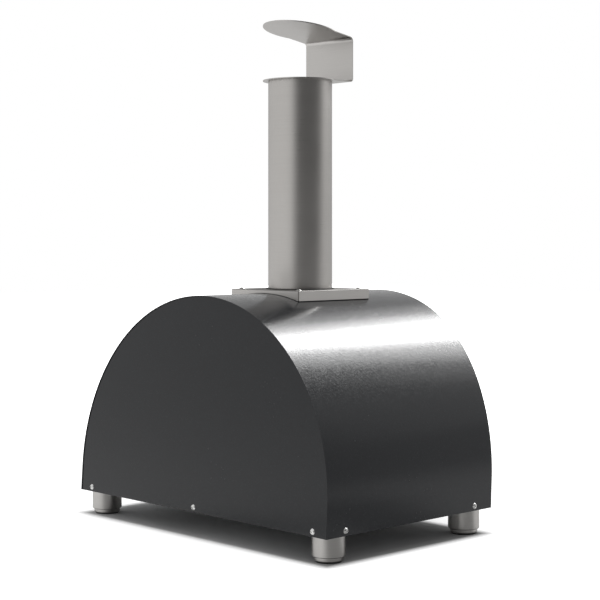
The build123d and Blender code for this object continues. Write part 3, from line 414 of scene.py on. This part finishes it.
def refractory():
    material, tree, shader = new_material("refractory", Roughness=0.88, IOR=1.5)
    space = object_space(tree)
    body = ramp(tree, noise(tree, space, tile_body_scale, detail=5.0), tile_tones)
    specks = ramp(tree, cell_value(tree, space, tile_speck_scale), tile_speck_stops, ease="CONSTANT")
    scorch = ramp(tree, noise(tree, space, tile_scorch_scale, detail=4.0), tile_scorch_stops)
    body = mix(tree, specks, body, tile_speck_tone)
    tree.links.new(mix(tree, scorch, body, tile_scorch_tone), shader.inputs["Base Color"])
    bump(tree, shader, noise(tree, space, tile_grain_scale, detail=4.0), *tile_grain_bump)
    bump(tree, shader, noise(tree, space, tile_pore_scale, detail=3.0), *tile_pore_bump)
    return material


# Ceramic fibre: off-white, matted strands in two directions
strand_scales = ((700.0, 90.0, 700.0), (90.0, 700.0, 700.0))
strand_tones = [(0.4, (0.66, 0.64, 0.59)), (0.8, (0.84, 0.83, 0.79))]
strand_bump = (0.8, 0.8 * mm)


def fibre_board():
    material, tree, shader = new_material("insulation", Roughness=0.95, IOR=1.4)
    both_ways = [noise(tree, object_space(tree, scale), 1.0, detail=4.0) for scale in strand_scales]
    strands = calculate(tree, "MAXIMUM", *both_ways)
    tree.links.new(ramp(tree, strands, strand_tones), shader.inputs["Base Color"])
    bump(tree, shader, strands, *strand_bump)
    return material


# Turned or cast fittings: one metal with fine tool marks and dull patches
fitting_patch_scale = 60.0
fitting_tones = ((0.3, 0.86), (0.7, 1.05))
fitting_patch_roughness = (-0.07, 0.09)
fitting_mark_roughness = (-0.03, 0.03)
fitting_mark_bump = (0.2, 0.1 * mm)
patch_levels = (0.3, 0.7)  # of the noise, also for mouldings


def fitting_metal(name, colour, roughness, mark_scale=(900.0, 900.0, 900.0)):
    material, tree, shader = new_material(name, Metallic=1.0, Roughness=roughness)
    space = object_space(tree)
    marks = noise(tree, object_space(tree, mark_scale), 1.0, detail=3.0)
    patches = noise(tree, space, fitting_patch_scale, detail=3.0)
    tone = ramp(tree, patches, [(place, scaled(colour, share)) for place, share in fitting_tones])
    tree.links.new(tone, shader.inputs["Base Color"])
    low, high = (roughness + change for change in fitting_patch_roughness)
    rough = spread(tree, patches, low, high, *patch_levels)
    rough = calculate(tree, "ADD", rough, spread(tree, marks, *fitting_mark_roughness))
    tree.links.new(rough, shader.inputs["Roughness"])
    bump(tree, shader, marks, *fitting_mark_bump)
    return material


# Moulded or pressed non-metals: fine spark-eroded grain and faint handling marks
moulded_mark_scale = 45.0
moulded_tones = ((0.3, 0.85), (0.7, 1.12))
moulded_mark_roughness = (-0.06, 0.08)
moulded_grain_depth = 0.15 * mm


def moulded(name, colour, roughness, grain_scale=1400.0, strength=0.25):
    material, tree, shader = new_material(name, Roughness=roughness, IOR=1.5)
    space = object_space(tree)
    grain = noise(tree, space, grain_scale, detail=2.0)
    marks = noise(tree, space, moulded_mark_scale, detail=3.0)
    tone = ramp(tree, marks, [(place, scaled(colour, share)) for place, share in moulded_tones])
    tree.links.new(tone, shader.inputs["Base Color"])
    low, high = (roughness + change for change in moulded_mark_roughness)
    rough = spread(tree, marks, low, high, *patch_levels)
    tree.links.new(rough, shader.inputs["Roughness"])
    bump(tree, shader, grain, strength, moulded_grain_depth)
    return material


# World and stage
def new_object(name, data):
    """Object in the scene's own collection."""
    made = bpy.data.objects.new(name, data)
    bpy.context.scene.collection.objects.link(made)
    return made


def direction_level(tree, direction, towards, stops):
    """Level by how far a direction points the given way."""
    return ramp(tree, vector_math(tree, "DOT_PRODUCT", direction, towards), stops, ease="EASE")


def seen_directly(tree):
    """Two switches: for what the camera sees straight or through glass, and for mirror images."""
    path = add_node(tree, "LightPath")
    direct = calculate(tree, "MAXIMUM", path.outputs["Is Camera Ray"], path.outputs["Is Transmission Ray"])
    return direct, path.outputs["Is Glossy Ray"]


def gloss_level(tree, direction, card_side):
    """What shiny surfaces see: white, softer on one side, with one dark card."""
    bright_ramp = [(0.0, gloss_low), (gloss_stop, gloss_high)]
    bright = direction_level(tree, direction, bright_side, bright_ramp)
    dark_ramp = [(dark_stops[0], 1.0), (dark_stops[1], dark_level)]
    dark = direction_level(tree, direction, card_side, dark_ramp)
    return calculate(tree, "MULTIPLY", bright, dark)


def make_world():
    """White studio: soft from above for matt surfaces, with a dark card for the gloss."""
    world = bpy.data.worlds.new("studio")
    bpy.context.scene.world = world
    tree = tree_of(world)
    background = tree.nodes["Background"]
    direction = add_node(tree, "TexCoord").outputs["Generated"]
    height = split_vector(tree, direction)["Z"]
    matt_level = spread(tree, height, horizon_level, zenith_level, *level_heights)
    direct, glossy = seen_directly(tree)
    level = mix(tree, glossy, matt_level, gloss_level(tree, direction, dark_side), kind="FLOAT")
    background.inputs["Color"].default_value = (1.0, 1.0, 1.0, 1.0)
    tree.links.new(mix(tree, direct, level, 1.0, kind="FLOAT"), background.inputs["Strength"])


def away_from_feet(tree, place):
    """Direction on the floor from the nearest foot."""
    low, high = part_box("foot_front_left")
    middle = (low + high) / 2
    quarter = vector_math(tree, "SIGN", place)
    foot = vector_math(tree, "MULTIPLY", quarter, (abs(middle.x), abs(middle.y), 0.0))
    return vector_math(tree, "NORMALIZE", vector_math(tree, "SUBTRACT", place, foot))


def make_floor():
    """White floor: painted shadow under the oven, a darker colour there, topped up to white away from it.
    """
    mesh = bpy.data.meshes.new("floor")
    corners = [(floor_reach * x, floor_reach * y, 0.0) for x, y in ((-1, -1), (1, -1), (1, 1), (-1, 1))]
    mesh.from_pydata(corners, [], [(0, 1, 2, 3)])
    floor = new_object("floor", mesh)
    material, tree, shader = new_material("floor_white", Roughness=0.9)
    shader.inputs["Specular IOR Level"].default_value = 0.0
    shader.inputs["Emission Color"].default_value = (1.0, 1.0, 1.0, 1.0)
    place = add_node(tree, "TexCoord").outputs["Object"]
    direct, glossy = seen_directly(tree)
    # painted shade for mirror images: the floor's colour and glow darker for glossy rays, by direction from
    # the nearest foot
    gloss = calculate(tree, "SQRT", gloss_level(tree, away_from_feet(tree, place), floor_reflection_shade_side))
    middle, size = sized(*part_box("base_tray"))
    parts = split_vector(tree, place)
    past = []
    for axis, name in enumerate(("X", "Y")):
        offset = calculate(tree, "ABSOLUTE", calculate(tree, "SUBTRACT", parts[name], middle[axis]))
        past.append(calculate(tree, "SUBTRACT", offset, size[axis] / 2))
    outside = [calculate(tree, "POWER", calculate(tree, "MAXIMUM", value, 0.0), 2.0) for value in past]
    inside = calculate(tree, "MINIMUM", calculate(tree, "MAXIMUM", *past), 0.0)
    distance = calculate(tree, "ADD", calculate(tree, "SQRT", calculate(tree, "ADD", *outside)), inside)
    along = vector_math(tree, "DOT_PRODUCT", place, bright_side)
    # painted shadow: darker floor colour under the oven, lighter towards bright_side
    under = spread(tree, along, *floor_shadow_albedo, *floor_shadow_reach)
    clear = spread(tree, distance, 0.0, 1.0, *floor_shadow_edge)
    albedo = mix(tree, clear, under, floor_albedo, kind="FLOAT")
    tone = calculate(tree, "MULTIPLY", albedo, mix(tree, glossy, 1.0, gloss, kind="FLOAT"))
    tree.links.new(tone, shader.inputs["Base Color"])
    near = spread(tree, distance, 0.0, floor_top_up, *floor_shadow_edge)
    far = spread(tree, distance, 0.0, 1.0, *floor_far)
    mirrored = calculate(tree, "MULTIPLY", glossy, calculate(tree, "MULTIPLY", gloss, floor_gloss_gain))
    near_glow = calculate(tree, "MULTIPLY", near, calculate(tree, "ADD", direct, mirrored))
    glow = calculate(tree, "ADD", near_glow, calculate(tree, "MULTIPLY", far, direct))
    tree.links.new(glow, shader.inputs["Emission Strength"])
    mesh.materials.append(material)


def make_lamp(name, place, target, size, energy):
    data = bpy.data.lights.new(name, "AREA")
    data.shape = "RECTANGLE"
    data.size, data.size_y = size
    data.energy = energy
    lamp = new_object(name, data)
    lamp.location = place
    lamp.rotation_euler = (Vector(target) - Vector(place)).to_track_quat("-Z", "Y").to_euler()
    lamp.visible_camera = False
    return lamp


def make_lights():
    """Wide light from above, and strips and a glow that only mirror images show."""
    top = make_lamp("top_light", top_light_place, top_light_target, top_light_size, top_light_energy)
    top.visible_glossy = False
    target = Vector(rim_light_target)
    strips = [("rim_light", azimuth, rim_light_height, size, energy)
              for azimuth, size, energy in zip(rim_light_azimuths, rim_light_sizes, rim_light_energies)]
    strips.append(("glow_light", glow_light_azimuth, glow_light_height, glow_light_size, glow_light_energy))
    for name, azimuth, height, size, energy in strips:
        level = cos(height)
        direction = Vector((level * cos(azimuth), level * sin(azimuth), sin(height)))
        lamp = make_lamp(name, target + rim_light_distance * direction, target, size, energy)
        lamp.visible_diffuse = False


def make_camera():
    data = bpy.data.cameras.new("photo_camera")
    data.sensor_width = sensor_width
    data.lens = focal_pixels / photo_side * sensor_width
    data.shift_y = (horizon_pixel - photo_side / 2) / photo_side
    data.clip_end = camera_clip_end
    camera = new_object("photo_camera", data)
    camera.location = camera_place
    camera.rotation_euler = (pi / 2, 0.0, camera_heading)
    bpy.context.scene.camera = camera


# Small pieces made of rings of points
smooth_angle = radians(40.0)
point_gap = 1e-5  # points closer than this are level


def ring_mesh(name, rings, material):
    """Skin over rings with as many points each; the first and last are closed."""
    count = len(rings[0])
    points = [point for ring in rings for point in ring]
    faces = []
    for row in range(len(rings) - 1):
        for k in range(count):
            after = (k + 1) % count
            here, above = row * count, (row + 1) * count
            faces.append((here + k, here + after, above + after, above + k))
    faces.append(tuple(reversed(range(count))))
    faces.append(tuple(range(len(points) - count, len(points))))
    mesh = bpy.data.meshes.new(name)
    mesh.from_pydata(points, [], faces)
    mesh.validate()
    mesh.materials.append(material)
    piece = new_object(name, mesh)
    mesh.shade_smooth()
    mesh.set_sharp_from_angle(angle=smooth_angle)
    return piece


def circle(radius, height, count, hexagon=0.0):
    """Ring at a height; hexagon 1 pulls it onto a hexagon of that corner radius."""
    ring = []
    for k in range(count):
        angle = 2 * pi * k / count
        across = cos(pi / 6) / cos((angle % (pi / 3)) - pi / 6)
        reach = radius * (1 + hexagon * (across - 1))
        ring.append(Vector((reach * cos(angle), reach * sin(angle), height)))
    return ring


def moved(rings, matrix):
    return [[matrix @ point for point in ring] for ring in rings]


def joined(pieces, name):
    """One object of several, under one name."""
    with bpy.context.temp_override(active_object=pieces[0], selected_editable_objects=pieces):
        bpy.ops.object.join()
    pieces[0].name = name
    pieces[0].data.name = name
    return pieces[0]


def loose_parts(node):
    """Lists of the points of each separate solid in a node."""
    mesh = nodes[node].data
    parent = list(range(len(mesh.vertices)))

    def root(k):
        while parent[k] != k:
            parent[k] = parent[parent[k]]
            k = parent[k]
        return k

    places = {}
    for vertex in mesh.vertices:
        key = tuple(round(c, 6) for c in vertex.co)
        parent[vertex.index] = places.setdefault(key, vertex.index)
    for edge in mesh.edges:
        first, second = (root(k) for k in edge.vertices)
        parent[first] = second
    groups = {}
    for vertex in mesh.vertices:
        groups.setdefault(root(vertex.index), []).append(vertex.co.copy())
    return list(groups.values())


# Screws: domed heads with a hexagon socket
socket_share = 0.40  # socket's corner radius to the head's
socket_depth_share = 0.62
socket_tip = (0.3, 0.1)  # drill mark in its floor: shares of its radius and of the head's height
socket_wall_drop = 0.05  # of the head's height, below the dome
socket_rim = 1.12  # of its radius
head_foot = (0.97, 0.02)  # shares of the head's radius and height
head_reach_slack = 1e-4
panel_facing = 0.9  # least share of its normal towards the rear
screw_points = 24
dome_rows = 5


def screw_rings(head_radius, head_height, shank_radius, length):
    dome_radius = (head_radius**2 + head_height**2) / (2 * head_height)
    dome_middle = head_height - dome_radius
    socket = socket_share * head_radius
    rim = (dome_radius**2 - socket**2) ** 0.5 + dome_middle
    floor = head_height * (1 - socket_depth_share)
    tip = floor - socket_tip[1] * head_height
    rings = [circle(socket_tip[0] * socket, tip, screw_points, 1.0)]
    rings.append(circle(socket, floor, screw_points, 1.0))
    rings.append(circle(socket, rim - socket_wall_drop * head_height, screw_points, 1.0))
    start = asin(socket_rim * socket / dome_radius)
    end = asin(head_radius / dome_radius)
    for row in range(dome_rows + 1):
        angle = start + (end - start) * row / dome_rows
        rings.append(circle(dome_radius * sin(angle), dome_middle + dome_radius * cos(angle), screw_points))
    rings.append(circle(head_foot[0] * head_radius, -head_foot[1] * head_height, screw_points))
    rings.append(circle(shank_radius, 0.0, screw_points))
    rings.append(circle(shank_radius, -length, screw_points))
    return rings


def make_screws(node, outward, material):
    """Detailed screws where a node's plain ones are; outward gives each head's direction."""
    pieces = []
    for points in loose_parts(node):
        middle = sum(points, Vector()) / len(points)
        axis = outward(middle).normalized()
        turn = axis.to_track_quat("Z", "Y").to_matrix().to_4x4()
        local = [turn.inverted() @ point for point in points]
        lows = [min(p[k] for p in local) for k in range(3)]
        highs = [max(p[k] for p in local) for k in range(3)]
        centre = [(lows[k] + highs[k]) / 2 for k in range(3)]
        head_radius = (highs[0] - lows[0]) / 2
        shank_points = [p for p in local if p.z < lows[2] + point_gap]
        shank_radius = (max(p.x for p in shank_points) - min(p.x for p in shank_points)) / 2
        reaches = [(Vector((p.x - centre[0], p.y - centre[1])).length, p.z) for p in local]
        seat = min(z for reach, z in reaches if abs(reach - head_radius) < head_reach_slack)
        place = turn @ Matrix.Translation((centre[0], centre[1], seat))
        rings = screw_rings(head_radius, highs[2] - seat, shank_radius, seat - lows[2])
        pieces.append(ring_mesh(node + "_piece", moved(rings, place), material))
    screws = joined(pieces, node + "_detailed")
    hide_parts(node)
    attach(screws, "oven_body")


def panel_normal():
    """Outward normal of the leaning rear panel, from its largest face."""
    faces = [p for p in nodes["rear_panel"].data.polygons if p.normal.y > panel_facing]
    return max(faces, key=lambda p: p.area).normal.copy()


# Gas inlet: hexagon body with a threaded tail
thread_pitch = 1.337 * mm
thread_depth = 0.86 * mm
thread_rows = 8
thread_points = 36
thread_lead = 0.4  # of the depth, off the first turn
inlet_bore = 3.6 * mm
inlet_bore_depth = 6 * mm
inlet_bevel = 1.2 * mm
inlet_shoulder = 2 * mm  # above the tray's lower face


def make_inlet(material):
    low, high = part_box("inlet_fitting")
    middle, size = sized(low, high)
    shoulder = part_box("base_tray")[0].z + inlet_shoulder
    tail_points = [v.co for v in nodes["inlet_fitting"].data.vertices if v.co.z < low.z + point_gap]
    tail_radius = max(abs(p.x - middle.x) for p in tail_points)
    hexagon = size.x / 2
    rings = [circle(inlet_bore, low.z + inlet_bore_depth, thread_points),
             circle(inlet_bore, low.z, thread_points)]
    rows = int((shoulder - low.z) / thread_pitch * thread_rows)
    for row in range(rows + 1):
        height = low.z + row * thread_pitch / thread_rows
        ring = []
        for k in range(thread_points):
            phase = (row / thread_rows + k / thread_points) % 1.0
            taper = min(1.0, row / thread_rows)
            cut = thread_depth * abs(2 * phase - 1) if row < rows - thread_rows else 0.0
            reach = tail_radius - cut - (1 - taper) * thread_lead * thread_depth
            angle = 2 * pi * k / thread_points
            ring.append(Vector((reach * cos(angle), reach * sin(angle), height)))
        rings.append(ring)
    rings.append(circle(hexagon - inlet_bevel, shoulder, thread_points, 1.0))
    rings.append(circle(hexagon, shoulder + inlet_bevel, thread_points, 1.0))
    rings.append(circle(hexagon, high.z - inlet_bevel, thread_points, 1.0))
    rings.append(circle(hexagon - inlet_bevel, high.z, thread_points, 1.0))
    place = Matrix.Translation((middle.x, middle.y, 0.0))
    piece = ring_mesh("inlet_threaded", moved(rings, place), material)
    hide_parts("inlet_fitting")
    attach(piece, "oven_body")


# Knob's pointer, and the marks round it: a dot for off and a band that widens with the flame
pointer_width = 1.8 * mm
pointer_reach = (6.0 * mm, 17.0 * mm)
pointer_end_steps = 8
print_thickness = 0.12 * mm
mark_gap = 2.2 * mm  # from the bezel
mark_widths = (0.5 * mm, 2.6 * mm)
mark_angles = (radians(35.0), radians(140.0))  # from the top, clockwise seen from the front
mark_steps = 28
dot_radius = 1.3 * mm


def slab(name, outline, front, material):
    """Thin plate of an outline in X and Z, its face at front, its thickness behind it."""
    rings = [[Vector((x, front + depth, z)) for x, z in outline] for depth in (0.0, print_thickness)]
    return ring_mesh(name, rings, material)


def make_knob_marks(material):
    low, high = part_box("control_knob")
    middle = (low + high) / 2
    bezel_low, bezel_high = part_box("knob_bezel")
    mark_radius = (bezel_high.x - bezel_low.x) / 2 + mark_gap
    half = pointer_width / 2
    outline = []
    for side, reach in ((1, pointer_reach[1] - half), (-1, pointer_reach[0] + half)):
        for step in range(pointer_end_steps + 1):
            angle = pi * step / pointer_end_steps
            height = middle.z + reach + side * half * sin(angle)
            outline.append((middle.x + side * half * cos(angle), height))
    pointer = slab("knob_pointer", outline, low.y - print_thickness / 2, material)
    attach(pointer, "knob")
    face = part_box("facade")[0].y - print_thickness
    band = []
    for side in (-1, 1):
        for step in range(mark_steps + 1):
            share = step / mark_steps if side < 0 else 1 - step / mark_steps
            angle = mark_angles[0] + share * (mark_angles[1] - mark_angles[0])
            width = mark_widths[0] + share * (mark_widths[1] - mark_widths[0])
            reach = mark_radius + (0.0 if side < 0 else width)
            band.append((middle.x + reach * sin(angle), middle.z + reach * cos(angle)))
    turns = [2 * pi * k / mark_steps for k in range(mark_steps)]
    dot = [(middle.x + dot_radius * cos(turn), middle.z + mark_radius + dot_radius * (1 + sin(turn)))
           for turn in turns]
    marks = [slab("dial_band", band, face, material), slab("dial_dot", dot, face, material)]
    for piece in marks:
        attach(piece, "oven_body")


# Flue pipe's longitudinal weld, on the mouth side
weld_width = 1.6 * mm
weld_rise = 0.22 * mm
weld_step = 2.4 * mm
weld_clear = 1 * mm  # above the plate
weld_swell = (0.18, 2.1)  # share of the width, angle for each row
weld_profile_shares = ((-0.5, 0.0), (-0.25, 0.8), (0.0, 1.0), (0.25, 0.8), (0.5, 0.0))


def make_weld(material):
    low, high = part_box("flue_pipe")
    middle = (low + high) / 2
    radius = (high.x - low.x) / 2
    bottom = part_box("flue_plate")[1].z + weld_clear
    rows = int((high.z - bottom) / weld_step)
    rings = []
    for row in range(rows + 1):
        height = bottom + (high.z - bottom) * row / rows
        swell = 1.0 + weld_swell[0] * sin(row * weld_swell[1])
        ring = []
        for across, rise in weld_profile_shares:
            offset = across * weld_width
            surface = middle.y - (radius**2 - offset**2) ** 0.5
            ring.append(Vector((middle.x + offset * swell, surface - rise * weld_rise, height)))
        ring.append(Vector((middle.x, middle.y - radius + weld_rise, height)))
        rings.append(ring)
    piece = ring_mesh("flue_weld", rings, material)
    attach(piece, "flue")


# Rope seal between the pipe and the plate's hole
seal_radius = 1.75 * mm
seal_gap = 0.05 * mm  # to the pipe
seal_proud_share = 0.9  # of its radius, above the plate
seal_points = 220
seal_section = 12
seal_strands = 3
seal_twists = 46
seal_swell = 0.07


def make_seal(material):
    low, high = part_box("flue_pipe")
    plate_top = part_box("flue_plate")[1].z
    middle = (low + high) / 2
    pipe = (high.x - low.x) / 2
    height = plate_top + (seal_proud_share - 1) * seal_radius
    points = []
    for step in range(seal_points):
        around = 2 * pi * step / seal_points
        for k in range(seal_section):
            angle = 2 * pi * k / seal_section
            strand = cos(seal_strands * angle - seal_twists * around)
            reach = seal_radius * (1 - seal_swell + seal_swell * strand)
            out = pipe + seal_radius + seal_gap + reach * cos(angle)
            level = height + reach * sin(angle)
            points.append((middle.x + out * cos(around), middle.y + out * sin(around), level))
    faces = []
    for step in range(seal_points):
        for k in range(seal_section):
            here, there = step * seal_section, (step + 1) % seal_points * seal_section
            after = (k + 1) % seal_section
            faces.append((here + k, there + k, there + after, here + after))
    mesh = bpy.data.meshes.new("flue_seal")
    mesh.from_pydata(points, [], faces)
    mesh.materials.append(material)
    mesh.shade_smooth()
    seal = new_object("flue_seal", mesh)
    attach(seal, "oven_body")


bpy.context.scene.view_settings.view_transform = "Standard"
make_camera()
make_world()
make_floor()
make_lights()

coat = powder_coat()
flue_steel = brushed_steel("flue_steel", (0.437, 0.423, 0.407), (18.0, 18.0, 2600.0))
cap_steel = brushed_steel("cap_steel", (0.464, 0.451, 0.436), (16.0, 2200.0, 2200.0))
door_steel = brushed_steel("door_steel", (0.45, 0.44, 0.43), (14.0, 2200.0, 2200.0))
plate_sheet = plate_steel()
foot_steel = brushed_steel("foot_steel", (0.385, 0.376, 0.363), (25.0, 25.0, 2600.0))
chamber_steel = heat_tinted_steel()
base_steel = zinc_coat()
tile = refractory()
fibre = fibre_board()
screw_steel = fitting_metal("screw_steel", (0.66, 0.66, 0.65), 0.22)
dull_screw_steel = fitting_metal("dull_screw_steel", (0.30, 0.295, 0.285), 0.45)
brass = fitting_metal("brass", (0.62, 0.44, 0.20), 0.30)
gas_line = fitting_metal("gas_line", (0.60, 0.60, 0.60), 0.34, (60.0, 60.0, 900.0))
valve_alloy = fitting_metal("valve_alloy", (0.50, 0.50, 0.51), 0.42)
rubber = moulded("foot_rubber", (0.022, 0.022, 0.023), 0.78, 700.0, 0.4)
knob_plastic = moulded("knob_plastic", (0.020, 0.020, 0.021), 0.38)
electrode_ceramic = moulded("electrode_ceramic", (0.78, 0.76, 0.70), 0.22, 500.0, 0.05)
print_white = moulded("print_white", (0.70, 0.70, 0.69), 0.50, 900.0, 0.10)

materials_of = {
    coat: ("vault_cover", "rear_panel", "facade"),
    flue_steel: ("flue_pipe", "cap_spigot", "flue_collar"),
    cap_steel: ("chimney_cap",),
    plate_sheet: ("flue_plate",),
    door_steel: ("door_panel", "door_posts", "door_grip", "hearth_sill"),
    foot_steel: tuple(name for name in nodes
                      if name.startswith(("foot_", "glide_")) and name != "foot_bolts"),
    chamber_steel: ("inner_vault", "inner_front_wall", "inner_rear_wall", "mouth_liner", "door_liner",
                    "flame_guard", "burner_tube", "burner_brackets", "flame_probe"),
    base_steel: ("base_tray", "floor_deck", "tile_frame"),
    tile: ("floor_tile_left", "floor_tile_right"),
    fibre: ("vault_blanket", "front_pad", "rear_pad", "floor_board", "door_core"),
    screw_steel: ("foot_bolts", "valve_spindle", "valve_plunger"),
    brass: ("gas_nozzle",),
    gas_line: ("gas_pipe",),
    valve_alloy: ("gas_valve", "knob_bezel"),
    rubber: tuple(name for name in nodes if name.startswith("pad_")),
    knob_plastic: ("control_knob",),
    electrode_ceramic: ("spark_electrode",),
}
for material, names in materials_of.items():
    for name in names:
        for slot in nodes[name].material_slots:
            slot.material = material

rear_out = panel_normal()
make_screws("rear_screws", lambda middle: rear_out, screw_steel)
make_screws("facade_screws", lambda middle: Vector((0, -1, 0)), screw_steel)
make_screws("side_screws", lambda middle: Vector((1 if middle.x > 0 else -1, 0, 0)), screw_steel)
make_screws("plate_screws", lambda middle: Vector((0, 0, 1)), dull_screw_steel)
make_inlet(brass)
make_knob_marks(print_white)
make_weld(flue_steel)
make_seal(moulded("rope_seal", (0.030, 0.029, 0.028), 0.9, 2500.0, 0.6))
